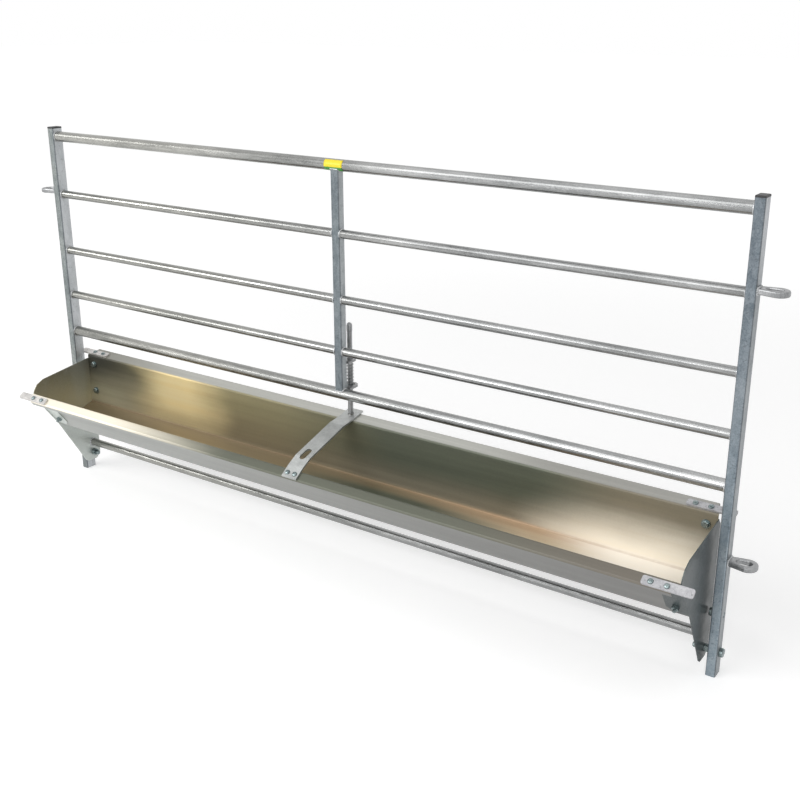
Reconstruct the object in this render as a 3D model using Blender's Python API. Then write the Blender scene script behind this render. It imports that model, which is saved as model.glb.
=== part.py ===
# Sheep feeding panel: a six-foot hurdle with a swing-through feed trough.
# The panel stands in the XZ plane, its feet are at z = 0, and the trough hangs in front of it, towards -Y.
# The trough swings on two pivot bolts near the feet, and a spring-loaded drop bolt locks it.

import bpy
import bmesh
from math import asin, atan2, cos, degrees, pi, radians, sin, sqrt, tan
from mathutils import Matrix, Vector

# Driving dimensions, in metres
panel_length = 1.83
panel_height = 0.935
post_width = 0.020
post_depth = 0.030
post_corner = 0.003
tube_wall = 0.002
thick_rail_radius = 0.0127
thin_rail_radius = 0.0100
top_rail_drop = 0.0237
second_rail_z = 0.7648
third_rail_z = 0.6182
fourth_rail_z = 0.4988
trough_rail_z = 0.3981
middle_post_size = 0.020
cap_height = 0.004
cap_plug_depth = 0.015

loop_length = 0.054
loop_width = 0.040
loop_bar = 0.011
loop_upper_z = 0.771
loop_lower_z = 0.248

pivot_y = 0.002
pivot_z = 0.049
pivot_bolt_radius = 0.006
pivot_bolt_head_width = 0.018
pivot_bolt_head_height = 0.0075
pivot_nut_height = 0.010
pivot_bolt_inner_reach = 0.054
spacer_radius = 0.008
guide_bolt_y = 0.002
guide_bolt_z = 0.131
guide_bolt_radius = 0.005
guide_bolt_head_width = 0.017
guide_bolt_head_height = 0.0075

trough_end_inset = 0.033
sheet_thickness = 0.0015
end_plate_thickness = 0.002
trough_lean = radians(17.6)
wall_top_radius = 0.281
wall_top_half_angle = radians(20.1)
wall_foot_radius = 0.148
wall_foot_half_angle = radians(22.0)
sheet_bend_radius = 0.004
front_flange_width = 0.025
back_flange_width = 0.036
back_flange_rise = radians(14.0)
flange_lip = 0.014
flange_corner_cut = 0.010
tie_tube_y = 0.003
tie_tube_z = 0.078

stop_bar_length = 0.098
stop_bar_width = 0.018
stop_bar_thickness = 0.004
stop_bar_end_gap = 0.002
front_bar_offset = 0.0155
outer_rivet_x = 0.052
inner_rivet_from_bar_end = 0.017
rivet_radius = 0.003

strap_width = 0.040
strap_thickness = 0.004
strap_front_bend = (0.0298, 0.0197)
strap_back_bend = (-0.0323, -0.0015)
strap_bend_radius = 0.012
strap_slot_length = 0.036
strap_slot_width = 0.016
strap_slot_y = -0.131
strap_rivet_spacing = 0.020

wall_bolt_x = 0.056
wall_bolt_radius = 0.004
wall_bolt_head_width = 0.013
wall_bolt_head_height = 0.0065
wall_bolt_washer_radius = 0.0095
wall_bolt_washer_height = 0.0015
wall_bolt_end = 0.005
wall_nut_height = 0.0065
low_bolt_from_foot = 0.034
high_bolt_from_top = 0.0252
tab_width = 0.045
tab_from_foot = 0.010
tab_from_top = 0.011
tab_corner_cut = 0.014
plate_rear_reach = 0.022
plate_bottom_reach = 0.0225
plate_top_drop = 0.0105

latch_y = 0.0335
latch_rod_radius = 0.006
latch_rod_top_z = 0.558
latch_grip_radius = 0.0066
latch_grip_length = 0.022
upper_lug_z = 0.468
lower_lug_z = 0.4063
lug_thickness = 0.005
upper_lug_radius = 0.014
lower_lug_radius = 0.0175
lower_lug_hole_radius = 0.0112
collar_radius = 0.0085
collar_thickness = 0.002
collar_z = 0.4080
cross_pin_radius = 0.0015
cross_pin_length = 0.017
spring_turns = 7
spring_mean_radius = 0.0077
spring_wire_radius = 0.0009

# Clearances between neighbouring pieces
touch_gap = 0.0003
bore_gap = 0.0004
stop_gap = 0.0005
slide_gap = 0.0006
pin_tip_gap = 0.0015

top_rail_z = panel_height - top_rail_drop
half_length = panel_length / 2
inner_rivet_x = stop_bar_end_gap + stop_bar_length - inner_rivet_from_bar_end
rivet_positions = (outer_rivet_x, inner_rivet_x)
post_half_depth = post_depth / 2
inner_face_x = half_length - post_width
trough_half_length = half_length - trough_end_inset

bpy.context.preferences.edit.use_global_undo = False
for old in list(bpy.data.objects):
    bpy.data.objects.remove(old, do_unlink=True)


# Materials
def make_material(name, color, roughness, metallic):
    material = bpy.data.materials.new(name)
    material.use_nodes = True
    shader = material.node_tree.nodes["Principled BSDF"]
    shader.inputs["Base Color"].default_value = (*color, 1.0)
    shader.inputs["Roughness"].default_value = roughness
    shader.inputs["Metallic"].default_value = metallic
    return material


galvanised = make_material("galvanised_tube", (0.46, 0.49, 0.52), 0.45, 0.9)
zinc_sheet = make_material("zinc_sheet", (0.62, 0.60, 0.54), 0.28, 1.0)
plate_steel = make_material("galvanised_plate", (0.40, 0.41, 0.41), 0.5, 0.9)
bar_steel = make_material("galvanised_bar", (0.66, 0.66, 0.63), 0.55, 0.8)
bolt_steel = make_material("zinc_bolt", (0.45, 0.52, 0.51), 0.35, 1.0)
spring_steel = make_material("spring_steel", (0.30, 0.31, 0.32), 0.4, 1.0)
black_plastic = make_material("black_plastic", (0.02, 0.02, 0.022), 0.55, 0.0)


# Frames: the whole object hangs on one empty, and each moving group on another
def make_empty(name, location, parent=None):
    empty = bpy.data.objects.new(name, None)
    bpy.context.scene.collection.objects.link(empty)
    empty.parent = parent
    empty.location = location
    return empty


object_frame = make_empty("object_frame", (0, 0, 0))
trough_frame = make_empty("trough_pivot_axis", (0, pivot_y, pivot_z), object_frame)
latch_frame = make_empty("latch_axis", (0, latch_y, 0), object_frame)


def add_object(name, bm, material, parent=object_frame, location=(0, 0, 0), smooth_angle=30, keep_sides=False):
    if not keep_sides:
        bmesh.ops.recalc_face_normals(bm, faces=bm.faces)
    mesh = bpy.data.meshes.new(name)
    bm.to_mesh(mesh)
    bm.free()
    if smooth_angle:
        mesh.shade_smooth()
        mesh.set_sharp_from_angle(angle=radians(smooth_angle))
    return place_mesh(name, mesh, material, parent, location)


def place_mesh(name, mesh, material, parent, location):
    if not mesh.materials:
        mesh.materials.append(material)
    obj = bpy.data.objects.new(name, mesh)
    bpy.context.scene.collection.objects.link(obj)
    obj.parent = parent
    obj.location = location
    return obj


# A moving piece is drawn in panel coordinates and then referred to its joint axis
def refer_to(bm, frame):
    bmesh.ops.translate(bm, verts=bm.verts, vec=-Vector(frame.location))


def cut(target, cutters):
    for cutter in cutters:
        cutter.hide_render = True
        cutter.display_type = "WIRE"
        boolean = target.modifiers.new(cutter.name, "BOOLEAN")
        boolean.operation = "DIFFERENCE"
        boolean.object = cutter


def fuse(target, pieces):
    for piece in pieces:
        piece.hide_render = True
        piece.display_type = "WIRE"
        boolean = target.modifiers.new(piece.name, "BOOLEAN")
        boolean.operation = "UNION"
        boolean.object = piece


def bevel(obj, width, segments=2, angle=40):
    modifier = obj.modifiers.new("edge_rounding", "BEVEL")
    modifier.width = width
    modifier.segments = segments
    modifier.limit_method = "ANGLE"
    modifier.angle_limit = radians(angle)
    return modifier


def solidify(obj, thickness, offset):
    modifier = obj.modifiers.new("wall", "SOLIDIFY")
    modifier.thickness = thickness
    modifier.offset = offset
    modifier.use_even_offset = True
    return modifier


# Turned and hexagonal solids, built as a stack of rings along a direction
def aim(position, direction):
    return Matrix.Translation(position) @ Vector(direction).to_track_quat("Z", "Y").to_matrix().to_4x4()


def ring_points(height, size, shape, count):
    points = []
    for i in range(count):
        angle = 2 * pi * i / count
        reach = size
        if shape == "hex":
            reach = size / cos((angle + pi / 6) % (pi / 3) - pi / 6)
        points.append(Vector((reach * cos(angle), reach * sin(angle), height)))
    return points


def add_rings(bm, matrix, rings, count=18, tube=False):
    rows = []
    for height, size, shape in rings:
        rows.append([bm.verts.new(matrix @ p) for p in ring_points(height, size, shape, count)])
    pairs = list(zip(rows, rows[1:]))
    if tube:
        pairs.append((rows[-1], rows[0]))
    for lower, upper in pairs:
        for i in range(count):
            j = (i + 1) % count
            bm.faces.new((lower[i], lower[j], upper[j], upper[i]))
    if not tube:
        bm.faces.new(rows[0])
        bm.faces.new(rows[-1])


def add_cylinder(bm, start, direction, radius, length, count=24):
    matrix = aim(Vector(start), direction)
    add_rings(bm, matrix, [(0, radius, "round"), (length, radius, "round")], count)


def add_washer(bm, start, direction, bore, radius, thickness, count=24):
    rings = [(0, bore, "round"), (0, radius, "round"), (thickness, radius, "round"), (thickness, bore, "round")]
    add_rings(bm, aim(Vector(start), direction), rings, count, tube=True)


def add_nut(bm, start, direction, bore, half_width, thickness):
    edge = thickness * 0.12
    rings = [(0, bore, "round"), (0, half_width * 0.97, "round"), (edge, half_width, "hex"),
             (thickness - edge, half_width, "hex"), (thickness, half_width * 0.97, "round"), (thickness, bore, "round")]
    add_rings(bm, aim(Vector(start), direction), rings, 18, tube=True)


# A hexagon bolt: direction points from the head along the shank, start is under the head
def add_bolt(bm, start, direction, shank, length, half_width, head, washer=0.0):
    edge = head * 0.2
    rings = [(-head, half_width * 0.9, "round"), (edge - head, half_width, "hex")]
    if washer:
        lip = head * 0.25
        rings += [(-lip, half_width, "hex"), (-lip, washer, "round"), (0, washer, "round")]
    else:
        rings += [(0, half_width, "hex")]
    rings += [(0, shank, "round"), (length - shank * 0.3, shank, "round"), (length, shank * 0.75, "round")]
    add_rings(bm, aim(Vector(start), direction), rings, 18)


# A domed rivet with a flattened tail
def add_rivet(bm, start, direction, shank, grip):
    head = shank * 2.0
    rings = [(-shank * 1.1, head * 0.4, "round"), (-shank * 0.7, head * 0.85, "round"), (0, head, "round"),
             (0, shank, "round"), (grip, shank, "round"), (grip, head * 0.8, "round"), (grip + shank * 0.6, head * 0.6, "round")]
    add_rings(bm, aim(Vector(start), direction), rings, 10)


# Straight tubes of the panel
def round_tube(name, x_start, x_end, radius, y, z, parent=object_frame):
    bm = bmesh.new()
    along_x = Matrix.Rotation(pi / 2, 4, "Y")
    bmesh.ops.create_cone(bm, cap_ends=False, segments=24, radius1=radius, radius2=radius,
                          depth=x_end - x_start, matrix=along_x)
    bmesh.ops.translate(bm, verts=bm.verts, vec=(-parent.location[0], -parent.location[1], -parent.location[2]))
    tube = add_object(name, bm, galvanised, parent, ((x_start + x_end) / 2, y, z))
    solidify(tube, tube_wall, -1)
    return tube


def square_tube(name, width, depth, corner, x, z_start, z_end):
    bm = bmesh.new()
    bmesh.ops.create_cube(bm, size=1)
    bmesh.ops.scale(bm, verts=bm.verts, vec=(width, depth, z_end - z_start))
    caps = [face for face in bm.faces if abs(face.normal.z) > 0.9]
    bmesh.ops.delete(bm, geom=caps, context="FACES_ONLY")
    upright = [edge for edge in bm.edges if abs(edge.verts[0].co.z - edge.verts[1].co.z) > 0.001]
    bmesh.ops.bevel(bm, geom=upright, offset=corner, segments=3, profile=0.5, affect="EDGES")
    tube = add_object(name, bm, galvanised, location=(x, 0, (z_start + z_end) / 2))
    solidify(tube, tube_wall, -1)
    return tube


def cutter_object(name, bm):
    return add_object(name, bm, galvanised, smooth_angle=0)


def build_posts():
    for side, word in ((-1, "left"), (1, "right")):
        x = side * (half_length - post_width / 2)
        post = square_tube(word + "_post", post_width, post_depth, post_corner, x, 0, panel_height - cap_height)
        holes = bmesh.new()
        start_x = side * (half_length + 0.01)
        inwards = (-side, 0, 0)
        add_cylinder(holes, (start_x, pivot_y, pivot_z), inwards, pivot_bolt_radius + bore_gap, post_width + 0.02, 16)
        add_cylinder(holes, (start_x, guide_bolt_y, guide_bolt_z), inwards, guide_bolt_radius + bore_gap, post_width + 0.02, 16)
        cut(post, [cutter_object(word + "_post_holes", holes)])


def build_post_caps():
    for side, word in ((-1, "left"), (1, "right")):
        x = side * (half_length - post_width / 2)
        bm = bmesh.new()
        corners = ((-1, -1), (1, -1), (1, 1), (-1, 1))
        half_x = post_width / 2
        inner_x = half_x - tube_wall - touch_gap
        inner_y = post_half_depth - tube_wall - touch_gap
        levels = ((-cap_plug_depth, inner_x - 0.001, inner_y - 0.001), (touch_gap, inner_x - 0.001, inner_y - 0.001),
                  (touch_gap, half_x, post_half_depth), (cap_height - 0.0015, half_x, post_half_depth),
                  (cap_height, half_x - 0.0015, post_half_depth - 0.0015))
        rows = [[bm.verts.new((cx * a, cy * b, z)) for cx, cy in corners] for z, a, b in levels]
        for lower, upper in zip(rows, rows[1:]):
            for i in range(4):
                j = (i + 1) % 4
                bm.faces.new((lower[i], lower[j], upper[j], upper[i]))
        bm.faces.new(rows[0])
        bm.faces.new(rows[-1])
        upright = [e for e in bm.edges if abs(e.verts[0].co.z - e.verts[1].co.z) > 0.001
                   and e.verts[0].co.xy == e.verts[1].co.xy]
        bmesh.ops.bevel(bm, geom=upright, offset=0.0018, segments=2, profile=0.5, affect="EDGES")
        add_object(word + "_post_cap", bm, black_plastic, location=(x, 0, panel_height - cap_height))


def build_rails():
    end_x = inner_face_x - touch_gap
    round_tube("top_rail", -end_x, end_x, thick_rail_radius, 0, top_rail_z)
    round_tube("trough_rail", -end_x, end_x, thick_rail_radius, 0, trough_rail_z)
    middle_x = middle_post_size / 2 + touch_gap
    for number, z in (("second", second_rail_z), ("third", third_rail_z), ("fourth", fourth_rail_z)):
        round_tube(number + "_rail_left", -end_x, -middle_x, thin_rail_radius, 0, z)
        round_tube(number + "_rail_right", middle_x, end_x, thin_rail_radius, 0, z)


def build_middle_post():
    post = square_tube("middle_post", middle_post_size, middle_post_size, 0.002, 0, trough_rail_z, top_rail_z)
    saddle_radius = thick_rail_radius + touch_gap
    saddles = bmesh.new()
    for z in (trough_rail_z, top_rail_z):
        add_cylinder(saddles, (-0.03, 0, z), (1, 0, 0), saddle_radius, 0.06, 36)
    cut(post, [cutter_object("middle_post_saddles", saddles)])


# A forged ring loop lies flat: its root is on the post and its slot takes a joining pin
def loop_mesh():
    bm = bmesh.new()
    outer_radius = loop_width / 2
    centre_x = loop_length - outer_radius
    root_half = post_half_depth - 0.002
    outline = [Vector((0, -root_half, 0))]
    outline += [Vector((centre_x + outer_radius * cos(a), outer_radius * sin(a), 0))
                for a in [radians(-90 + 20 * i) for i in range(10)]]
    outline += [Vector((0, root_half, 0))]
    face = bm.faces.new([bm.verts.new(p - Vector((0, 0, loop_bar / 2))) for p in outline])
    grown = bmesh.ops.extrude_face_region(bm, geom=[face])["geom"]
    bmesh.ops.translate(bm, verts=[v for v in grown if isinstance(v, bmesh.types.BMVert)], vec=(0, 0, loop_bar))
    return bm


def slot_outline(length, width, steps=5):
    reach = (length - width) / 2
    points = []
    for side in (1, -1):
        for i in range(steps + 1):
            angle = -pi / 2 + pi * i / steps
            points.append(Vector((side * (reach + width / 2 * cos(angle)), side * width / 2 * sin(angle), 0)))
    return points


def add_prism(bm, matrix, outline, depth):
    face = bm.faces.new([bm.verts.new(matrix @ (p - Vector((0, 0, depth / 2)))) for p in outline])
    grown = bmesh.ops.extrude_face_region(bm, geom=[face])["geom"]
    push = matrix.to_3x3() @ Vector((0, 0, depth))
    bmesh.ops.translate(bm, verts=[v for v in grown if isinstance(v, bmesh.types.BMVert)], vec=push)


def build_loops():
    slot_width = loop_width - 2 * loop_bar
    slot_length = loop_length - loop_bar - 0.012
    slot_centre = loop_length - loop_bar - slot_length / 2
    for side, word in ((-1, "left"), (1, "right")):
        for level, z in (("upper", loop_upper_z), ("lower", loop_lower_z)):
            bm = loop_mesh()
            turn = Matrix.Scale(side, 4, (1, 0, 0))
            bmesh.ops.transform(bm, matrix=turn, verts=bm.verts)
            x = side * (half_length + touch_gap)
            loop = add_object(f"{word}_{level}_loop", bm, galvanised, location=(x, 0, z), smooth_angle=45)
            hole = bmesh.new()
            matrix = Matrix.Translation((x + side * slot_centre, 0, z))
            add_prism(hole, matrix, slot_outline(slot_length, slot_width), 0.04)
            cut(loop, [cutter_object(f"{word}_{level}_loop_slot", hole)])
            bevel(loop, 0.0025, 2, 50)


# Points of the trough's section, in the YZ plane, at rest
def trough_point(radius, half_angle, side):
    angle = trough_lean - side * half_angle
    return Vector((pivot_y - radius * sin(angle), pivot_z + radius * cos(angle)))


front_top = trough_point(wall_top_radius, wall_top_half_angle, -1)
back_top = trough_point(wall_top_radius, wall_top_half_angle, 1)
front_foot = trough_point(wall_foot_radius, wall_foot_half_angle, -1)
back_foot = trough_point(wall_foot_radius, wall_foot_half_angle, 1)
front_up = (front_top - front_foot).normalized()
back_up = (back_top - back_foot).normalized()
wall_length = (front_top - front_foot).length
front_out = Vector((-front_up.y, front_up.x))
back_out = Vector((back_up.y, -back_up.x))
back_flange_dir = Vector((cos(back_flange_rise), sin(back_flange_rise)))
back_flange_normal = Vector((-sin(back_flange_rise), cos(back_flange_rise)))
front_edge = front_top + front_out * front_flange_width
back_edge = back_top + back_flange_dir * back_flange_width
front_lip = front_edge - front_up * flange_lip
back_lip = back_edge - back_flange_normal * flange_lip * 0.8


def from_pivot(y, z):
    return Vector((pivot_y + y, pivot_z + z))


def rounded_path(points, radius, steps=4):
    path = [points[0].copy()]
    for before, corner, after in zip(points, points[1:], points[2:]):
        back = (before - corner).normalized()
        ahead = (after - corner).normalized()
        half = back.angle(ahead) / 2
        reach = radius / tan(half)
        centre = corner + (back + ahead).normalized() * radius / sin(half)
        start = corner + back * reach - centre
        sweep = pi - 2 * half
        turn = 1 if back.cross(ahead) < 0 else -1
        for i in range(steps + 1):
            angle = turn * sweep * i / steps
            turned = Vector((start.x * cos(angle) - start.y * sin(angle), start.x * sin(angle) + start.y * cos(angle)))
            path.append(centre + turned)
    path.append(points[-1].copy())
    return path


def in_space(x, point):
    return Vector((x, point.x, point.y))


# Section points run from the front lip over the front flange, down and up the walls, to the back lip
def sheet_grid(path, corner_rows, half, corner_cut):
    bm = bmesh.new()
    stations = (-half, -half + corner_cut, half - corner_cut, half)
    rows = []
    for i, point in enumerate(path):
        row = [bm.verts.new(in_space(x, point)) for x in stations]
        if i in corner_rows:
            bm.verts.remove(row[0])
            bm.verts.remove(row[3])
            row[0] = row[1]
            row[3] = row[2]
        rows.append(row)
    for lower, upper in zip(rows, rows[1:]):
        for i in range(3):
            corners = []
            for vert in (upper[i], upper[i + 1], lower[i + 1], lower[i]):
                if vert not in corners:
                    corners.append(vert)
            if len(corners) > 2:
                bm.faces.new(corners)
    return bm


def build_trough_sheet():
    points = [front_lip, front_edge, front_top, front_foot, back_foot, back_top, back_edge, back_lip]
    steps = 3
    path = rounded_path(points, sheet_bend_radius, steps)
    bend_rows = steps + 1
    front_rows = set(range(0, 1 + bend_rows))
    back_rows = set(range(len(path) - 1 - bend_rows, len(path)))
    bm = sheet_grid(path, front_rows | back_rows, trough_half_length - touch_gap, flange_corner_cut)
    refer_to(bm, trough_frame)
    sheet = add_object("trough_sheet", bm, zinc_sheet, trough_frame, smooth_angle=40, keep_sides=True)
    solidify(sheet, sheet_thickness, 1)
    return sheet


# Places on the trough: along a wall from its foot, or along a flange from the wall's top
def wall_place(side, distance):
    if side < 0:
        return front_foot + front_up * distance, front_out
    return back_foot + back_up * distance, back_out


def flange_place(side, distance, height):
    if side < 0:
        return front_top + front_out * distance + front_up * height
    return back_top + back_flange_dir * distance + back_flange_normal * height


def bolt_places():
    places = []
    for end in (-1, 1):
        for side in (-1, 1):
            for distance in (low_bolt_from_foot, wall_length - high_bolt_from_top):
                point, outwards = wall_place(side, distance)
                places.append((end * (half_length - wall_bolt_x), point, outwards))
    return places


back_bar_offset = ((post_half_depth + stop_gap - back_top.x + stop_bar_thickness * sin(back_flange_rise))
                   / cos(back_flange_rise) + stop_bar_width / 2 + touch_gap)
bar_offsets = {-1: front_bar_offset, 1: back_bar_offset}
flange_normals = {-1: front_up, 1: back_flange_normal}
flange_dirs = {-1: front_out, 1: back_flange_dir}


def rivet_places():
    places = []
    for end in (-1, 1):
        for side in (-1, 1):
            for x in rivet_positions:
                places.append((end * (half_length - x), side, bar_offsets[side]))
    return places


def strap_rivet_places():
    return [(end * strap_rivet_spacing / 2, -1, front_flange_width * 0.5) for end in (-1, 1)]


def along_direction(direction):
    return (0, direction.x, direction.y)


def build_end_plates():
    inner_x = trough_half_length
    for end, word in ((-1, "left"), (1, "right")):
        bm = bmesh.new()
        outer = end * (inner_x + end_plate_thickness)
        # The outline runs from the back top corner over the top edge, then down the front and round the pivot
        front_corner = front_top - front_up * 0.0025
        rear_y = pivot_y + plate_rear_reach
        outline = [Vector((rear_y, back_top.y - 2 * plate_top_drop)), back_top + Vector((-0.0005, -plate_top_drop)),
                   front_top + Vector((0.0348, 0.0287)), front_top + Vector((0.0138, 0.0187)),
                   front_top + Vector((0.0043, 0.0062)), front_corner,
                   front_corner + front_out * 0.006 - front_up * 0.010, front_foot + front_out * 0.0065 + front_up * 0.010,
                   from_pivot(-0.0275, -0.0175), from_pivot(-0.020, -plate_bottom_reach), from_pivot(0.008, -plate_bottom_reach),
                   from_pivot(0.0185, -0.0135), from_pivot(plate_rear_reach, -0.004)]
        matrix = Matrix(((0, 0, end, outer - end * end_plate_thickness / 2), (1, 0, 0, 0), (0, 1, 0, 0), (0, 0, 0, 1)))
        add_prism(bm, matrix, [Vector((p.x, p.y, 0)) for p in outline], end_plate_thickness)
        refer_to(bm, trough_frame)
        plate = add_object(word + "_end_plate", bm, plate_steel, trough_frame, smooth_angle=0)
        tabs = [end_plate_tab(word, end, side) for side in (-1, 1)]
        fuse(plate, tabs)
        holes = bmesh.new()
        start_x = end * (half_length)
        add_cylinder(holes, (start_x, pivot_y, pivot_z), (-end, 0, 0), pivot_bolt_radius + bore_gap, 0.06, 16)
        for x, point, outwards in bolt_places():
            if x * end > 0:
                start = in_space(x, point - outwards * 0.01)
                add_cylinder(holes, start, along_direction(outwards), wall_bolt_radius + bore_gap, 0.03, 12)
        cut(plate, [cutter_object(word + "_end_plate_holes", holes)])


# The plate's bent tab lies on the outside of the wall and takes the two wall bolts
def end_plate_tab(word, end, side):
    foot, outwards = wall_place(side, tab_from_foot)
    tab_length = wall_length - tab_from_foot - tab_from_top
    up = front_up if side < 0 else back_up
    clear = sheet_thickness + touch_gap
    x_plate = trough_half_length + end_plate_thickness * 0.5
    x_end = x_plate - tab_width
    cut_share = 1 - tab_corner_cut / tab_width
    far = tab_length - tab_corner_cut
    along = ((0, 0), (tab_length, 0), (tab_length, cut_share), (far, 1), (tab_corner_cut, 1), (0, cut_share))
    bm = bmesh.new()
    low = []
    for distance, share in along:
        x = end * (x_plate + (x_end - x_plate) * share)
        low.append(bm.verts.new(in_space(x, foot + up * distance + outwards * clear)))
    face = bm.faces.new(low)
    grown = bmesh.ops.extrude_face_region(bm, geom=[face])["geom"]
    push = in_space(0, outwards * end_plate_thickness)
    bmesh.ops.translate(bm, verts=[v for v in grown if isinstance(v, bmesh.types.BMVert)], vec=push)
    name = word + ("_front_tab" if side < 0 else "_back_tab")
    return cutter_object(name, bm)


def drill_trough_sheet(sheet):
    holes = bmesh.new()
    for x, point, outwards in bolt_places():
        add_cylinder(holes, in_space(x, point - outwards * 0.01), along_direction(outwards), wall_bolt_radius + bore_gap, 0.02, 12)
    for x, side, offset in rivet_places() + strap_rivet_places():
        start = flange_place(side, offset, 0.01)
        normal = flange_normals[side]
        add_cylinder(holes, in_space(x, start), along_direction(-normal), rivet_radius + bore_gap, 0.02, 10)
    add_cylinder(holes, (0, latch_y, back_top.y + 0.03), (0, 0, -1), latch_rod_radius + slide_gap * 2, 0.05, 24)
    cut(sheet, [cutter_object("trough_sheet_holes", holes)])


def build_stop_bars():
    for end, word in ((-1, "left"), (1, "right")):
        for side, level in ((-1, "front"), (1, "back")):
            height = touch_gap + stop_bar_thickness / 2
            centre = flange_place(side, bar_offsets[side], height)
            x = end * (half_length - stop_bar_end_gap - stop_bar_length / 2)
            bm = bmesh.new()
            bmesh.ops.create_cube(bm, size=1)
            bmesh.ops.scale(bm, verts=bm.verts, vec=(stop_bar_length, stop_bar_width, stop_bar_thickness))
            short = [e for e in bm.edges if abs(e.verts[0].co.z - e.verts[1].co.z) > 0.001]
            bmesh.ops.bevel(bm, geom=short, offset=0.004, segments=3, profile=0.5, affect="EDGES")
            direction = flange_dirs[side]
            tilt = atan2(direction.y, direction.x) if side > 0 else atan2(-direction.y, -direction.x)
            location = in_space(x, centre) - Vector(trough_frame.location)
            bar = add_object(f"{word}_{level}_stop_bar", bm, bar_steel, trough_frame, location, smooth_angle=50)
            bar.rotation_euler = (tilt, 0, 0)
            holes = bmesh.new()
            for rivet_x in rivet_positions:
                start = flange_place(side, bar_offsets[side], 0.02)
                begin = in_space(end * (half_length - rivet_x), start)
                add_cylinder(holes, begin, along_direction(-flange_normals[side]), rivet_radius + bore_gap, 0.04, 10)
            cut(bar, [cutter_object(f"{word}_{level}_bar_holes", holes)])


def build_rivets():
    grip = stop_bar_thickness + sheet_thickness + 3 * touch_gap
    for x, side, offset in rivet_places():
        word = ("left" if x < 0 else "right") + ("_front" if side < 0 else "_back")
        end = "outer" if abs(x) > half_length - (outer_rivet_x + inner_rivet_x) / 2 else "inner"
        start = flange_place(side, offset, stop_bar_thickness + 2 * touch_gap)
        rivet(f"{word}_{end}_rivet", x, start, side, grip)
    grip = strap_thickness + sheet_thickness + 3 * touch_gap
    for x, side, offset in strap_rivet_places():
        start = flange_place(side, offset, strap_thickness + 2 * touch_gap)
        rivet("strap_rivet_left" if x < 0 else "strap_rivet_right", x, start, side, grip)


def rivet(name, x, start, side, grip):
    bm = bmesh.new()
    add_rivet(bm, in_space(x, start), along_direction(-flange_normals[side]), rivet_radius, grip)
    refer_to(bm, trough_frame)
    add_object(name, bm, bolt_steel, trough_frame, smooth_angle=40)


# Each wall bolt is one solid with its nut and the thread end that stands out of it
def build_wall_bolts():
    stack = sheet_thickness + end_plate_thickness + 2 * touch_gap
    half_width = wall_bolt_head_width / 2
    for x, point, outwards in bolt_places():
        foot = front_foot if outwards is front_out else back_foot
        level = "high" if (point - foot).length > wall_length / 2 else "low"
        word = ("left" if x < 0 else "right") + ("_front_" if outwards is front_out else "_back_") + level
        edge = wall_nut_height * 0.12
        seat = stack + touch_gap
        rings = [(-wall_bolt_head_height, half_width * 0.9, "round"), (-wall_bolt_head_height * 0.8, half_width, "hex"),
                 (-wall_bolt_washer_height, half_width, "hex"), (-wall_bolt_washer_height, wall_bolt_washer_radius, "round"),
                 (0, wall_bolt_washer_radius, "round"), (0, wall_bolt_radius, "round"), (seat, wall_bolt_radius, "round"),
                 (seat, half_width, "hex"), (seat + wall_nut_height - edge, half_width, "hex"),
                 (seat + wall_nut_height, wall_bolt_radius, "round"),
                 (seat + wall_nut_height + wall_bolt_end, wall_bolt_radius * 0.85, "round")]
        bm = bmesh.new()
        start = in_space(x, point - outwards * touch_gap)
        add_rings(bm, aim(start, along_direction(outwards)), rings, 12)
        refer_to(bm, trough_frame)
        add_object(word + "_wall_bolt", bm, bolt_steel, trough_frame, smooth_angle=40)


# The centre strap runs over the trough from the front flange to the back flange
def strap_bend(side):
    return front_top + Vector(strap_front_bend) if side < 0 else back_top + Vector(strap_back_bend)


def strap_path():
    lift = touch_gap + strap_thickness / 2
    front_end = flange_place(-1, front_flange_width - 0.001, lift)
    back_end = flange_place(1, back_flange_width + 0.006, lift)
    return [front_end, flange_place(-1, -0.006, lift), strap_bend(-1), strap_bend(1),
            flange_place(1, 0.001, lift), back_end]


def build_strap():
    path = rounded_path(strap_path(), strap_bend_radius, 3)
    bm = bmesh.new()
    rows = [[bm.verts.new(in_space(x, p)) for x in (-strap_width / 2, strap_width / 2)] for p in path]
    for lower, upper in zip(rows, rows[1:]):
        bm.faces.new((lower[0], lower[1], upper[1], upper[0]))
    refer_to(bm, trough_frame)
    strap = add_object("center_strap", bm, bar_steel, trough_frame, smooth_angle=40)
    solidify(strap, strap_thickness, 0)
    holes = bmesh.new()
    add_cylinder(holes, (0, latch_y, back_top.y + 0.03), (0, 0, -1), latch_rod_radius + slide_gap * 2, 0.05, 24)
    for x, side, offset in strap_rivet_places():
        start = flange_place(side, offset, 0.02)
        add_cylinder(holes, in_space(x, start), along_direction(-flange_normals[side]), rivet_radius + bore_gap, 0.04, 10)
    bend = strap_bend(-1)
    straight = strap_bend(1) - bend
    slope = atan2(straight.y, straight.x)
    slot_z = bend.y + (strap_slot_y - bend.x) * tan(slope)
    matrix = Matrix.Translation((0, strap_slot_y, slot_z)) @ Matrix.Rotation(slope, 4, "X") @ Matrix.Rotation(pi / 2, 4, "Z")
    add_prism(holes, matrix, slot_outline(strap_slot_length, strap_slot_width), 0.03)
    cut(strap, [cutter_object("strap_holes", holes)])


def build_tie_tube():
    bm = bmesh.new()
    reach = trough_half_length - touch_gap
    bmesh.ops.create_cone(bm, cap_ends=False, segments=24, radius1=thin_rail_radius, radius2=thin_rail_radius,
                          depth=2 * reach, matrix=Matrix.Rotation(pi / 2, 4, "Y"))
    tube = add_object("tie_tube", bm, galvanised, trough_frame, (0, tie_tube_y - pivot_y, tie_tube_z - pivot_z))
    solidify(tube, tube_wall, -1)


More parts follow.
